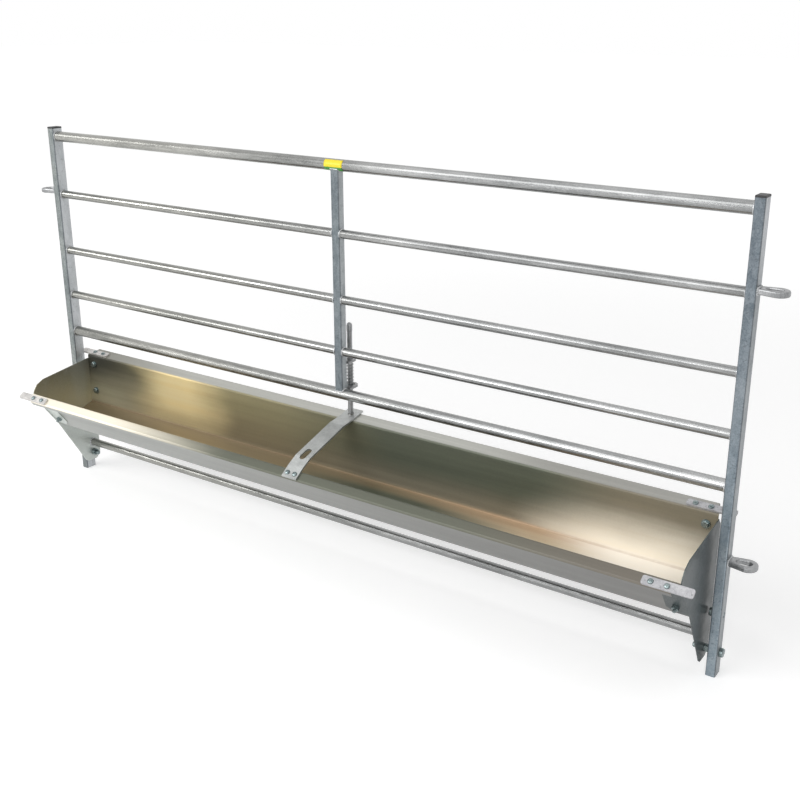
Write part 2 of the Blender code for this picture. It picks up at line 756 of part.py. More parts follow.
def build_pivots():
    bore = pivot_bolt_radius + bore_gap
    gap = trough_end_inset - end_plate_thickness - post_width
    for end, word in ((-1, "left"), (1, "right")):
        inwards = (-end, 0, 0)
        outer_x = end * (half_length + touch_gap)
        bm = bmesh.new()
        add_bolt(bm, (outer_x, pivot_y, pivot_z), inwards, pivot_bolt_radius, pivot_bolt_inner_reach + touch_gap,
                 pivot_bolt_head_width / 2, pivot_bolt_head_height)
        add_object(word + "_pivot_bolt", bm, bolt_steel)
        bm = bmesh.new()
        spacer_x = end * (inner_face_x - touch_gap)
        add_washer(bm, (spacer_x, pivot_y, pivot_z), inwards, bore, spacer_radius, gap - 2 * touch_gap)
        add_object(word + "_pivot_spacer", bm, bolt_steel)
        bm = bmesh.new()
        nut_x = end * (trough_half_length - touch_gap)
        add_nut(bm, (nut_x, pivot_y, pivot_z), inwards, bore, pivot_bolt_head_width / 2, pivot_nut_height)
        add_object(word + "_pivot_nut", bm, bolt_steel)
        bm = bmesh.new()
        under = (end * (inner_face_x - touch_gap), guide_bolt_y, guide_bolt_z)
        add_bolt(bm, under, (end, 0, 0), guide_bolt_radius, post_width, guide_bolt_head_width / 2, guide_bolt_head_height)
        add_object(word + "_guide_bolt", bm, bolt_steel)


# Lugs of the drop bolt: flat tongues on the back of the middle post
def build_lugs():
    for word, z, radius, hole in (("upper", upper_lug_z, upper_lug_radius, latch_rod_radius + slide_gap),
                                  ("lower", lower_lug_z, lower_lug_radius, lower_lug_hole_radius)):
        start_y = middle_post_size / 2 + touch_gap
        outline = [Vector((radius, start_y, 0))]
        outline += [Vector((radius * cos(a), latch_y + radius * sin(a), 0)) for a in [radians(15 * i) for i in range(13)]]
        outline += [Vector((-radius, start_y, 0))]
        bm = bmesh.new()
        add_prism(bm, Matrix.Translation((0, 0, z + lug_thickness / 2)), outline, lug_thickness)
        lug = add_object(word + "_latch_lug", bm, galvanised, smooth_angle=40)
        bore = bmesh.new()
        add_cylinder(bore, (0, latch_y, z - 0.01), (0, 0, 1), hole, lug_thickness + 0.02, 32)
        cut(lug, [cutter_object(word + "_lug_bore", bore)])


strap_top_at_pin = flange_place(1, 0, strap_thickness + 2 * touch_gap).y + (latch_y - back_top.x) * tan(back_flange_rise)
rod_tip_z = strap_top_at_pin + pin_tip_gap


def swept_wire(name, path, radius, resolution):
    curve = bpy.data.curves.new(name + "_line", "CURVE")
    curve.dimensions = "3D"
    curve.bevel_depth = radius
    curve.bevel_resolution = resolution
    curve.use_fill_caps = True
    spline = curve.splines.new("POLY")
    spline.points.add(len(path) - 1)
    for point, place in zip(spline.points, path):
        point.co = (*place, 1)
    guide = bpy.data.objects.new(name + "_guide", curve)
    bpy.context.scene.collection.objects.link(guide)
    shown = guide.evaluated_get(bpy.context.evaluated_depsgraph_get())
    bm = bmesh.new()
    bm.from_mesh(bpy.data.meshes.new_from_object(shown))
    bmesh.ops.remove_doubles(bm, verts=bm.verts, dist=0.00002)
    bpy.data.objects.remove(guide)
    return bm


# The drop bolt is a straight rod with a pointed tip and a thicker, domed grip
def build_latch():
    grip_start = latch_rod_top_z - latch_grip_length
    dome = [(latch_rod_top_z - latch_grip_radius * (1 - sin(a)), latch_grip_radius * cos(a), "round")
            for a in (radians(0), radians(30), radians(60), radians(80))]
    rings = [(rod_tip_z, latch_rod_radius * 0.7, "round"), (rod_tip_z + 0.002, latch_rod_radius, "round"),
             (grip_start, latch_rod_radius, "round"), (grip_start + 0.003, latch_grip_radius, "round")] + dome
    bm = bmesh.new()
    add_rings(bm, Matrix.Identity(4), rings, 20)
    rod = add_object("latch_rod", bm, galvanised, latch_frame, smooth_angle=50)
    hole = bmesh.new()
    pin_z = collar_z - touch_gap - cross_pin_radius
    add_cylinder(hole, (-0.02, latch_y, pin_z), (1, 0, 0), cross_pin_radius + bore_gap / 2, 0.04, 12)
    cut(rod, [cutter_object("latch_rod_hole", hole)])
    bm = bmesh.new()
    add_cylinder(bm, (-cross_pin_length / 2, 0, pin_z), (1, 0, 0), cross_pin_radius, cross_pin_length, 12)
    add_object("latch_cross_pin", bm, bolt_steel, latch_frame)
    bm = bmesh.new()
    add_washer(bm, (0, 0, collar_z), (0, 0, 1), latch_rod_radius + touch_gap, collar_radius, collar_thickness, 28)
    add_object("latch_collar", bm, bolt_steel, latch_frame)


def build_spring():
    bottom = collar_z + collar_thickness + touch_gap
    top = upper_lug_z - touch_gap
    straight = 2 * spring_wire_radius
    points_per_turn = 9
    count = spring_turns * points_per_turn
    rise = top - bottom - 2 * straight
    helix = []
    for i in range(count + 1):
        angle = 2 * pi * i / points_per_turn
        z = bottom + straight + rise * i / count
        helix.append(Vector((spring_mean_radius * cos(angle), spring_mean_radius * sin(angle), z)))
    path = [helix[0] - Vector((0, 0, straight))] + helix + [helix[-1] + Vector((0, 0, straight))]
    bm = swept_wire("latch_spring", path, spring_wire_radius, 1)
    add_object("latch_spring", bm, spring_steel, latch_frame, smooth_angle=60)
    closest = min((a - b).length for i, a in enumerate(helix) for b in helix[i + points_per_turn // 2:])
    print("least gap between the spring's turns, mm:", round(1000 * (closest - 2 * spring_wire_radius), 2))


# The object's origin is the middle of its box, on the floor
def centre_on_floor():
    bpy.context.view_layer.update()
    depsgraph = bpy.context.evaluated_depsgraph_get()
    corners = []
    for obj in bpy.context.scene.objects:
        if obj.type != "EMPTY" and not obj.hide_render:
            shown = obj.evaluated_get(depsgraph)
            corners += [shown.matrix_world @ Vector(c) for c in shown.bound_box]
    middle = [(min(c[i] for c in corners) + max(c[i] for c in corners)) / 2 for i in range(2)]
    lowest = min(c[2] for c in corners)
    object_frame.location = (-middle[0], -middle[1], -lowest)
    return Vector(object_frame.location)


build_posts()
build_post_caps()
build_rails()
build_middle_post()
build_loops()
trough_sheet = build_trough_sheet()
drill_trough_sheet(trough_sheet)
build_end_plates()
build_stop_bars()
build_rivets()
build_wall_bolts()
build_strap()
build_tie_tube()
build_pivots()
build_lugs()
build_latch()
build_spring()
shift = centre_on_floor()

bar_corner = flange_place(-1, front_bar_offset - stop_bar_width / 2, stop_bar_thickness + touch_gap) - Vector((pivot_y, pivot_z))
corner_angle = atan2(-bar_corner.x, bar_corner.y)
stop_angle = asin((post_half_depth + stop_gap + pivot_y) / bar_corner.length)
print("shift of the object frame:", [round(v, 5) for v in shift])
print("pivot axis:", round(pivot_y + shift.y, 5), round(pivot_z + shift.z, 5))
print("trough swing, degrees:", round(degrees(corner_angle - stop_angle), 2))
print("latch axis y:", round(latch_y + shift.y, 5), "rod tip z:", round(rod_tip_z + shift.z, 5))
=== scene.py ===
# Looks of the feeding panel with trough: materials, spring, weld beads, label, floor, light and camera.
# Lengths are in metres and colours are linear values. The trough is at -Y and the panel runs along X.
import math
import random

import bpy
import bmesh
from mathutils import Matrix, Vector


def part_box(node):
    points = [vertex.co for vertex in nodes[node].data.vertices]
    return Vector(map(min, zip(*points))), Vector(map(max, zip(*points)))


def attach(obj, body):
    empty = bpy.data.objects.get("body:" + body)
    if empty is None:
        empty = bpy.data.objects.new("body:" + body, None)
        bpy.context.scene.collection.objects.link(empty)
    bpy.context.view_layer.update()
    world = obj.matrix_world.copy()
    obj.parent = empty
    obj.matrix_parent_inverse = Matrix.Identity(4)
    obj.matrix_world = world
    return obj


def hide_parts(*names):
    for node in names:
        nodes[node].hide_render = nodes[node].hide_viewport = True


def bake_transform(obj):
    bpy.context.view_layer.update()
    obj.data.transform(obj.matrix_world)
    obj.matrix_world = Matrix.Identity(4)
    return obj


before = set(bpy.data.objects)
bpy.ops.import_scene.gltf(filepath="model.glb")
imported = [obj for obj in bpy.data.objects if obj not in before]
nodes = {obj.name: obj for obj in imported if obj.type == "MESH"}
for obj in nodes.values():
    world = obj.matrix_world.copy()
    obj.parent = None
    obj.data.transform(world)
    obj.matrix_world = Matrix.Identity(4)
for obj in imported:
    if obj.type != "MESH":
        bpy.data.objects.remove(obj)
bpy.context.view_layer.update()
scene = bpy.context.scene

opaque_white = (1.0, 1.0, 1.0, 1.0)


# Node trees
class Tree:
    """A material, with short ways to add nodes to it. A value is a number or another node's output."""

    def __init__(self, name):
        self.material = bpy.data.materials.new(name)
        self.material.use_nodes = True
        self.tree = self.material.node_tree
        self.shader = self.tree.nodes["Principled BSDF"]
        self.coordinates = self.tree.nodes.new("ShaderNodeTexCoord")

    def node(self, kind, **settings):
        made = self.tree.nodes.new(kind)
        for key, value in settings.items():
            setattr(made, key, value)
        return made

    def link(self, a, b):
        self.tree.links.new(a, b)

    def feed(self, socket, value):
        if isinstance(value, bpy.types.NodeSocket):
            self.link(value, socket)
        else:
            socket.default_value = value

    def math(self, operation, a, b=0.0):
        made = self.node("ShaderNodeMath", operation=operation)
        self.feed(made.inputs[0], a)
        self.feed(made.inputs[1], b)
        return made.outputs[0]

    def add(self, a, b):
        return self.math("ADD", a, b)

    def minus(self, a, b):
        return self.math("SUBTRACT", a, b)

    def times(self, a, b):
        return self.math("MULTIPLY", a, b)

    def largest(self, a, b):
        return self.math("MAXIMUM", a, b)

    def absolute(self, a):
        return self.math("ABSOLUTE", a)

    def length(self, a, b):
        return self.math("SQRT", self.add(self.times(a, a), self.times(b, b)))

    def smooth(self, value, start, end, out_start=0.0, out_end=1.0):
        """A soft step from out_start, where the value is at start, to out_end, where it is at end."""
        made = self.node("ShaderNodeMapRange", interpolation_type="SMOOTHSTEP")
        for i, item in enumerate((value, start, end, out_start, out_end)):
            self.feed(made.inputs[i], item)
        return made.outputs[0]

    def mapping(self, stretch):
        made = self.node("ShaderNodeMapping")
        made.inputs["Scale"].default_value = stretch
        self.link(self.coordinates.outputs["Object"], made.inputs["Vector"])
        return made.outputs[0]

    def noise(self, scale, detail=4.0, rough=0.55, stretch=(1, 1, 1)):
        made = self.node("ShaderNodeTexNoise")
        self.link(self.mapping(stretch), made.inputs["Vector"])
        made.inputs["Scale"].default_value = scale
        made.inputs["Detail"].default_value = detail
        made.inputs["Roughness"].default_value = rough
        return made.outputs["Fac"]

    def cells(self, scale, stretch=(1, 1, 1)):
        """One random value for each cell, as in the spangle of zinc."""
        made = self.node("ShaderNodeTexVoronoi")
        self.link(self.mapping(stretch), made.inputs["Vector"])
        made.inputs["Scale"].default_value = scale
        split = self.node("ShaderNodeSeparateColor")
        self.link(made.outputs["Color"], split.inputs[0])
        return split.outputs[0]

    def ramp(self, value, stops):
        made = self.node("ShaderNodeValToRGB")
        elements = made.color_ramp.elements
        while len(elements) < len(stops):
            elements.new(0.5)
        for element, (place, color) in zip(elements, stops):
            element.position = place
            element.color = (*color, 1.0)
        self.link(value, made.inputs[0])
        return made.outputs["Color"]

    def mix(self, share, a, b, blend="MIX"):
        """Color b over color a, with a where the share is 0 and b where it is 1."""
        made = self.node("ShaderNodeMix", data_type="RGBA", blend_type=blend)
        self.feed(made.inputs[0], share)
        for socket, color in ((made.inputs[6], a), (made.inputs[7], b)):
            self.feed(socket, color if isinstance(color, bpy.types.NodeSocket) else (*color, 1.0))
        return made.outputs[2]

    def tint(self, color, by, share=1.0):
        return self.mix(share, color, by, "MULTIPLY")

    def bump(self, height, strength, distance, before=None):
        made = self.node("ShaderNodeBump")
        made.inputs["Strength"].default_value = strength
        made.inputs["Distance"].default_value = distance
        self.link(height, made.inputs["Height"])
        if before:
            self.link(before, made.inputs["Normal"])
        return made.outputs[0]

    def axes(self, source="Object"):
        made = self.node("ShaderNodeSeparateXYZ")
        self.link(self.coordinates.outputs[source], made.inputs[0])
        return made.outputs

    def finish(self, color, roughness, metallic, normal):
        self.feed(self.shader.inputs["Base Color"], color)
        self.feed(self.shader.inputs["Roughness"], roughness)
        self.feed(self.shader.inputs["Metallic"], metallic)
        self.link(normal, self.shader.inputs["Normal"])
        return self.material


def seen_by_eye(tree):
    """1 for rays from the camera, in a reflection or through glass, and 0 for light on the object."""
    path = tree.nodes.new("ShaderNodeLightPath")
    seen = path.outputs["Is Camera Ray"]
    for ray in ("Is Glossy Ray", "Is Transmission Ray"):
        most = tree.nodes.new("ShaderNodeMath")
        most.operation = "MAXIMUM"
        tree.links.new(seen, most.inputs[0])
        tree.links.new(path.outputs[ray], most.inputs[1])
        seen = most.outputs[0]
    return seen


# Materials of the tubes, bars and fasteners
def galvanised(name, dark, base, light, metallic, rough,
               grain=1.0, stretch=(1, 1, 1), specks=0.0, warm=None):
    """Mottled zinc. A bigger grain is finer, specks are dark pits, and warm tints the panel's left end."""
    cloud_scale = 16 * grain
    spangle_scale = 140 * grain
    fine_scale = 420 * grain
    wear_scale = 30 * grain
    pit_scale = 260
    right_to_left = (0.4, -0.7)
    t = Tree(name)
    cloud = t.noise(cloud_scale, 5, 0.6, stretch)
    color = t.ramp(cloud, [(0.30, dark), (0.50, base), (0.72, light)])
    spangle = t.cells(spangle_scale, stretch)
    color = t.mix(0.22, color, t.ramp(spangle, [(0.0, dark), (1.0, light)]))
    fine = t.noise(fine_scale, 3, 0.6)
    color = t.mix(0.25, color, t.ramp(fine, [(0.35, dark), (0.65, light)]))
    if specks:
        pits = t.smooth(t.noise(pit_scale, 2, 0.5), 0.60, 0.68)
        color = t.mix(t.times(pits, specks), color, tuple(0.5 * c for c in dark))
    if warm:
        x = t.axes()[0]
        color = t.tint(color, warm, t.smooth(x, *right_to_left))
    roughness = t.smooth(t.noise(wear_scale, 4, 0.6, stretch), 0.3, 0.7, *rough)
    normal = t.bump(cloud, 0.25, 0.0012)
    normal = t.bump(fine, 0.30, 0.0003, normal)
    return t.finish(color, roughness, metallic, normal)


rail_metal = galvanised(
    "galvanised_rail", (0.15, 0.155, 0.155), (0.27, 0.275, 0.275), (0.46, 0.463, 0.463),
    metallic=0.9, rough=(0.17, 0.28), stretch=(0.22, 1, 1), warm=(1.0, 0.985, 0.92))
loop_metal = galvanised(
    "galvanised_loop", (0.16, 0.165, 0.17), (0.28, 0.285, 0.29), (0.44, 0.445, 0.45),
    metallic=0.8, rough=(0.28, 0.42), grain=1.6, specks=0.25)
bar_metal = galvanised(
    "galvanised_flat_bar", (0.24, 0.24, 0.25), (0.39, 0.39, 0.41), (0.60, 0.60, 0.61),
    metallic=0.6, rough=(0.36, 0.52), grain=2.4, specks=0.5, warm=(1.5, 1.46, 1.36))
strap_metal = galvanised(
    "galvanised_strap", (0.30, 0.31, 0.305), (0.44, 0.455, 0.445), (0.62, 0.635, 0.625),
    metallic=0.75, rough=(0.32, 0.45), grain=1.2)
weld_metal = galvanised(
    "weld_bead", (0.22, 0.23, 0.24), (0.42, 0.43, 0.44), (0.68, 0.69, 0.69),
    metallic=0.8, rough=(0.26, 0.42), grain=3.0)
bolt_metal = galvanised(
    "zinc_fastener", (0.05, 0.075, 0.085), (0.18, 0.23, 0.235), (0.46, 0.52, 0.51),
    metallic=0.9, rough=(0.2, 0.36), grain=3.5)
spring_metal = galvanised(
    "spring_wire", (0.06, 0.065, 0.07), (0.17, 0.18, 0.185), (0.40, 0.41, 0.41),
    metallic=0.9, rough=(0.25, 0.4), grain=4.0)


def post_front_painted_light(t, cloud, x, z, is_middle, is_right):
    """The front and back faces of the posts, with painted light: lighter on the left post and at the right
    post's foot.
    """
    left_to_middle = (-0.8, -0.1)
    to_painted_lit_foot = (0.65, 0.22)
    front = t.ramp(cloud, [
        (0.32, (0.115, 0.145, 0.175)), (0.5, (0.195, 0.235, 0.272)), (0.70, (0.32, 0.355, 0.39))])
    # Painted light: the left post warmer and lighter, the middle and right posts darker and bluer
    front = t.tint(front, t.mix(t.smooth(x, *left_to_middle), (1.0, 0.93, 0.76), (0.54, 0.59, 0.61)))
    front = t.tint(front, (1.0, 0.95, 0.86), is_middle)
    # Painted light at the right post's foot, about twice as light as higher up
    right_painted_shading = t.mix(t.smooth(z, *to_painted_lit_foot), (1.05, 1.02, 1.0), (2.3, 2.2, 2.1))
    return t.tint(front, right_painted_shading, is_right)


def post_side_painted_light(t, cloud, z, is_middle, is_right):
    """The side faces of the posts, a lit copy of the front: pale, with painted shade on the middle post and
    on the right post below its top.
    """
    to_painted_shade_below_top = (0.90, 0.74)
    side = t.ramp(cloud, [
        (0.32, (0.46, 0.48, 0.49)), (0.5, (0.62, 0.64, 0.65)), (0.70, (0.76, 0.77, 0.78))])
    side = t.tint(side, (0.60, 0.62, 0.62), is_middle)
    # Painted shade on the right post's side below its top
    right_painted_shading = t.mix(t.smooth(z, *to_painted_shade_below_top), (0.78, 0.78, 0.80), (0.42, 0.44, 0.45))
    return t.tint(side, right_painted_shading, is_right)


def make_post_metal():
    """Square tube with painted light and shade: a darker, bluer front, pale sides and a dark line of
    painted shade in the rounded corner.
    """
    # Shares of the normal along X
    front_to_side = (0.86, 0.97)
    front_to_corner = (0.30, 0.62)
    side_to_corner = (0.95, 0.80)
    # Places on the posts
    side_to_shade_line = (0.0575, 0.0565)
    middle_post_setback = 0.005
    outer_to_middle = (0.3, 0.1)
    middle_to_right = (0.5, 0.8)
    # Colours of the painted shade line in the corner, the grain and the pits
    corner_shade = (0.06, 0.075, 0.085)
    grain_dark = (0.10, 0.12, 0.14)
    grain_light = (0.50, 0.53, 0.56)
    pit_dark = (0.05, 0.06, 0.07)
    t = Tree("galvanised_post")
    x, y, z = t.axes()
    turned = t.absolute(t.axes("Normal")[0])
    on_side = t.smooth(turned, *front_to_side)
    is_middle = t.smooth(t.absolute(x), *outer_to_middle)
    is_right = t.smooth(x, *middle_to_right)
    cloud = t.noise(15, 5, 0.62, (1, 1, 0.4))
    # Front and side are lit and shaded copies of one zinc: painted light and shade
    front = post_front_painted_light(t, cloud, x, z, is_middle, is_right)
    side = post_side_painted_light(t, cloud, z, is_middle, is_right)
    color = t.mix(on_side, front, side)
    # Painted shade: dark lines in the rounded corners and along the sides
    in_corner_shade = t.times(t.smooth(turned, *front_to_corner), t.smooth(turned, *side_to_corner))
    place = t.minus(y, t.times(is_middle, middle_post_setback))
    line = t.times(on_side, t.smooth(place, *side_to_shade_line))
    color = t.mix(t.times(t.largest(in_corner_shade, line), 0.8), color, corner_shade)
    spangle = t.cells(120, (1, 1, 0.6))
    color = t.mix(0.16, color, t.ramp(spangle, [(0.0, grain_dark), (1.0, grain_light)]))
    fine = t.noise(380, 3, 0.6)
    color = t.mix(0.16, color, t.ramp(fine, [(0.35, grain_dark), (0.65, grain_light)]))
    pits = t.smooth(t.noise(200, 2, 0.5), 0.62, 0.70)
    color = t.mix(t.times(pits, 0.4), color, pit_dark)
    roughness = t.smooth(t.noise(26, 4, 0.6, (1, 1, 0.4)), 0.3, 0.7, 0.34, 0.5)
    return t.finish(color, roughness, 0.7, t.bump(fine, 0.3, 0.0003, t.bump(cloud, 0.25, 0.001)))


# Materials of the trough
def plate_metal(name, upper, lower, plain):
    """A zinc end plate: two tones of painted reflection inside the trough, one below the other, and a plain
    one elsewhere.
    """
    # The trough's section, seen along X: its lowest point, the slopes of floor and front, and the rear wall
    lowest_y, lowest_z = -0.0237, 0.163
    floor_slope = 0.318
    front_slope = -1.398
    rear_wall = (0.0836, 0.0830)
    fade = 0.0015
    lower_to_upper = (0.19, 0.33)
    t = Tree(name)
    x, y, z = t.axes()
    cloud = t.noise(9, 4, 0.5, (1, 1, 0.5))
    sway = t.times(t.minus(cloud, 0.5), 0.08)
    inner = t.mix(t.smooth(t.add(z, sway), *lower_to_upper), lower, upper)
    off = t.minus(y, lowest_y)
    floor_line = t.largest(t.times(off, floor_slope), t.times(off, front_slope))
    above_floor = t.minus(t.minus(z, lowest_z), floor_line)
    within = t.times(t.smooth(above_floor, -fade, fade), t.smooth(y, *rear_wall))
    outward = t.times(t.axes("Normal")[0], t.math("SIGN", x))
    within = t.times(within, t.smooth(outward, 0.4, 0.1))
    color = t.mix(within, plain, inner)
    color = t.mix(t.times(t.smooth(cloud, 0.35, 0.7), 0.25), color, tuple(1.5 * c for c in plain))
    fine = t.noise(300, 3, 0.6)
    color = t.mix(0.10, color, t.ramp(fine, [(0.35, (0.10, 0.10, 0.09)), (0.65, (0.50, 0.50, 0.45))]))
    roughness = t.smooth(t.noise(20, 4), 0.3, 0.7, 0.30, 0.42)
    return t.finish(color, roughness, 0.4, t.bump(fine, 0.15, 0.0002))


def wall_color(t, along, sway, z, painted_light_end, height):
    """The back wall, in painted reflections: dark above and warm below, with a painted golden highlight at
    the left and a painted cream light at the right end.
    """
    to_bronze = (0.14, -0.24)
    to_corner = (-0.58, -0.84)
    top_to_foot = (0.270, 0.202)
    highlight_x, highlight_half, highlight_soft = -0.55, 0.02, 0.19
    highlight_foot_to_top = (0.205, 0.255)
    low = t.smooth(t.add(z, t.times(sway, 0.03)), *top_to_foot)
    # Painted reflection: olive and bronze tones, dark at the top
    olive = t.mix(low, (0.125, 0.137, 0.100), (0.26, 0.232, 0.172))
    bronze = t.mix(height, (0.25, 0.21, 0.135), (0.30, 0.27, 0.158))
    # Painted reflection at the left corner: light below, painted shade above
    corner = t.mix(height, (0.44, 0.41, 0.29), (0.055, 0.055, 0.043))
    cream = t.mix(height, (1.0, 0.92, 0.78), (0.20, 0.175, 0.122))
    wall = t.mix(t.smooth(along, *to_bronze), olive, bronze)
    wall = t.mix(t.smooth(along, *to_corner), wall, corner)
    # Painted highlight: a golden spot high on the wall at the left
    highlight_spot = t.smooth(t.absolute(t.minus(along, highlight_x)), highlight_half + highlight_soft, highlight_half)
    golden_highlight = t.times(highlight_spot, t.smooth(z, *highlight_foot_to_top, 0.45, 0.97))
    wall = t.mix(golden_highlight, wall, (0.92, 0.76, 0.42))
    # Painted light: cream at the right end
    return t.mix(painted_light_end, wall, cream)


def floor_color(t, along, y):
    """The narrow floor, in painted reflections: brown, then copper near the rear bend or olive and tan off
    it, then painted cream light.
    """
    left_brown = (0.255, 0.200, 0.120)
    brown_to_copper = (0.10, 0.50)
    brown_to_olive = (-0.2, 0.05)
    olive_to_tan = (0.23, 0.50)
    to_cream = (0.52, 0.70)
    near_to_far = (0.074, 0.050)
    near = t.mix(t.smooth(along, *brown_to_copper), left_brown, (0.52, 0.37, 0.235))
    far = t.mix(t.smooth(along, *brown_to_olive), left_brown, (0.115, 0.125, 0.088))
    far = t.mix(t.smooth(along, *olive_to_tan), far, (0.64, 0.52, 0.36))
    floor = t.mix(t.smooth(y, *near_to_far), near, far)
    return t.mix(t.smooth(along, *to_cream), floor, (1.0, 0.94, 0.84))


def front_flange_color(t, along, y):
    """The front flange, in painted reflections: cream at the left, then olive and brown, with a painted
    pale highlight along the lip.
    """
    cream_to_olive = (-0.60, -0.17)
    olive_to_brown = (0.30, 0.75)
    to_lip = (-0.1195, -0.1218)
    front = t.mix(t.smooth(along, *cream_to_olive), (0.95, 0.88, 0.73), (0.118, 0.125, 0.094))
    front = t.mix(t.smooth(along, *olive_to_brown), front, (0.152, 0.135, 0.108))
    # Painted highlight along the lip
    return t.mix(t.smooth(y, *to_lip), front, (0.74, 0.69, 0.58))


def rear_flange_color(t, along):
    """The rear flange: grey, and lightest in the middle, with painted shade towards both ends."""
    left_to_middle = (-0.85, -0.5)
    middle_to_right = (0.30, 0.55)
    rear = t.mix(t.smooth(along, *left_to_middle), (0.26, 0.255, 0.22), (0.50, 0.50, 0.46))
    return t.mix(t.smooth(along, *middle_to_right), rear, (0.38, 0.375, 0.345))


def make_sheet_metal():
    """The trough's sheet: painted reflections in warm tints inside, grey outside with painted shade, fine
    rolling lines along its length.
    """
    wall_foot_to_top = (0.20, 0.315)
    to_painted_light_end = (0.40, 0.66)
    wall_to_floor = (0.206, 0.194)
    to_front_flange = (-0.0985, -0.1030)
    to_rear_flange = (0.3295, 0.3312)
    bend_y, bend_z = 0.0788, 0.1985
    to_bend_line = (0.0040, 0.0012)
    to_dull_bend = (0.010, 0.004)
    dark_line = (0.44, 0.44, 0.44)
    light_line = (0.56, 0.56, 0.56)
    t = Tree("trough_sheet_metal")
    x, y, z = t.axes()
    _, ny, nz = t.axes("Normal")
    sway = t.minus(t.noise(5.0, 3, 0.5, (0.7, 2.0, 2.0)), 0.5)
    along = t.add(x, t.times(sway, 0.16))

    # Inside colours are painted reflections of the surroundings: painted light and shade on the zinc
    height = t.smooth(t.add(z, t.times(sway, 0.06)), *wall_foot_to_top)
    # Where the painted light of the right end lies inside the trough
    painted_light_end = t.smooth(t.minus(along, t.times(height, 0.07)), *to_painted_light_end)
    wall = wall_color(t, along, sway, z, painted_light_end, height)
    inside = t.mix(t.smooth(z, *wall_to_floor), wall, floor_color(t, along, y))
    from_bend = t.length(t.minus(y, bend_y), t.minus(z, bend_z))
    # A thin brown line along the rear bend, darker at the left, broken up by noise
    bend_line_tone = t.mix(t.smooth(x, -0.5, 0.5), (0.15, 0.092, 0.048), (0.34, 0.20, 0.10))
    bend_line_breakup = t.smooth(t.noise(14, 4, 0.6, (1, 0.2, 0.2)), 0.3, 0.6, 0.40, 0.85)
    inside = t.mix(t.times(t.smooth(from_bend, *to_bend_line), bend_line_breakup), inside, bend_line_tone)
    inside = t.mix(t.smooth(y, *to_front_flange), inside, front_flange_color(t, along, y))
    inside = t.mix(t.smooth(z, *to_rear_flange), inside, rear_flange_color(t, along))

    # Outside: grey with painted shade, darker towards the right
    outside = t.mix(t.smooth(along, -0.9, 0.9), (0.36, 0.37, 0.35), (0.185, 0.182, 0.174))
    is_inside = t.smooth(t.minus(nz, t.times(ny, 0.5)), -0.05, 0.05)
    color = t.mix(is_inside, outside, inside)
    streak = t.noise(60, 4, 0.6, (0.02, 1, 1))
    color = t.mix(0.8, color, t.ramp(streak, [(0.30, dark_line), (0.70, light_line)]), "OVERLAY")
    fine = t.noise(260, 3, 0.6)
    color = t.mix(0.25, color, t.ramp(fine, [(0.30, dark_line), (0.70, light_line)]), "OVERLAY")
    roughness = t.smooth(t.noise(12, 4, 0.6, (0.2, 1, 1)), 0.3, 0.7, 0.28, 0.38)
    roughness = t.add(roughness, t.smooth(from_bend, *to_dull_bend, 0.0, 0.35))
    metallic = t.minus(0.3, t.times(t.times(painted_light_end, is_inside), 0.26))
    return t.finish(color, roughness, metallic, t.bump(fine, 0.06, 0.0002))


# Materials of the caps and the label
def make_cap_plastic():
    t = Tree("black_cap_plastic")
    grain = t.noise(500, 3, 0.6)
    color = t.ramp(grain, [(0.3, (0.012, 0.012, 0.013)), (0.7, (0.035, 0.035, 0.037))])
    return t.finish(color, t.smooth(grain, 0.3, 0.7, 0.42, 0.6), 0.0, t.bump(grain, 0.25, 0.0002))


def make_label_film(middle_z):
    """Yellow film with a green lower edge, slightly faded."""
    yellow = (0.84, 0.68, 0.02)
    green = (0.05, 0.27, 0.04)
    faded = (0.62, 0.55, 0.12)
    yellow_to_green = (middle_z - 0.0034, middle_z - 0.0040)
    waver = 0.0008
    t = Tree("blank_label_film")
    z = t.axes()[2]
    wear = t.noise(180, 4, 0.6)
    edge = t.add(z, t.times(t.minus(wear, 0.5), waver))
    color = t.mix(t.smooth(edge, *yellow_to_green), yellow, green)
    color = t.mix(t.smooth(wear, 0.55, 0.8, 0.0, 0.3), color, faded)
    return t.finish(color, 0.35, 0.0, t.bump(wear, 0.1, 0.0002))


metal_of_node = {
    "trough_sheet": make_sheet_metal(),
    # Left plate: painted reflections inside the trough, dark above and golden below
    "left_end_plate": plate_metal(
        "end_plate_left",
        upper=(0.13, 0.12, 0.08), lower=(0.64, 0.59, 0.38), plain=(0.58, 0.62, 0.59)),
    # Right plate: painted shade, dark all over
    "right_end_plate": plate_metal(
        "end_plate_right",
        upper=(0.054, 0.076, 0.075), lower=(0.054, 0.074, 0.075), plain=(0.043, 0.057, 0.062)),
    "center_strap": strap_metal,
    "latch_spring": spring_metal,
    "latch_rod": loop_metal,
}
# The first row with a word that is in the node's name counts
metal_of_words = (
    (("cap",), make_cap_plastic()),
    (("stop_bar",), bar_metal),
    (("bolt", "nut", "rivet", "spacer", "collar", "pin"), bolt_metal),
    (("post",), make_post_metal()),
    (("loop", "lug"), loop_metal),
)


def metal_of(name):
    if name in metal_of_node:
        return metal_of_node[name]
    for words, metal in metal_of_words:
        if any(word in name for word in words):
            return metal
    return rail_metal


for name, obj in nodes.items():
    obj.data.materials.clear()
    obj.data.materials.append(metal_of(name))


# Spring
def build_spring():
    """The drop bolt's spring: a copy of the spring part as an object of its own, in place of the hidden
    part.
    """
    data = nodes["latch_spring"].data.copy()
    data.name = "latch_spring_coil"
    coil = bpy.data.objects.new("latch_spring_coil", data)
    scene.collection.objects.link(coil)
    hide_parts("latch_spring")
    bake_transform(coil)


# Weld beads
chance = random.Random(7)


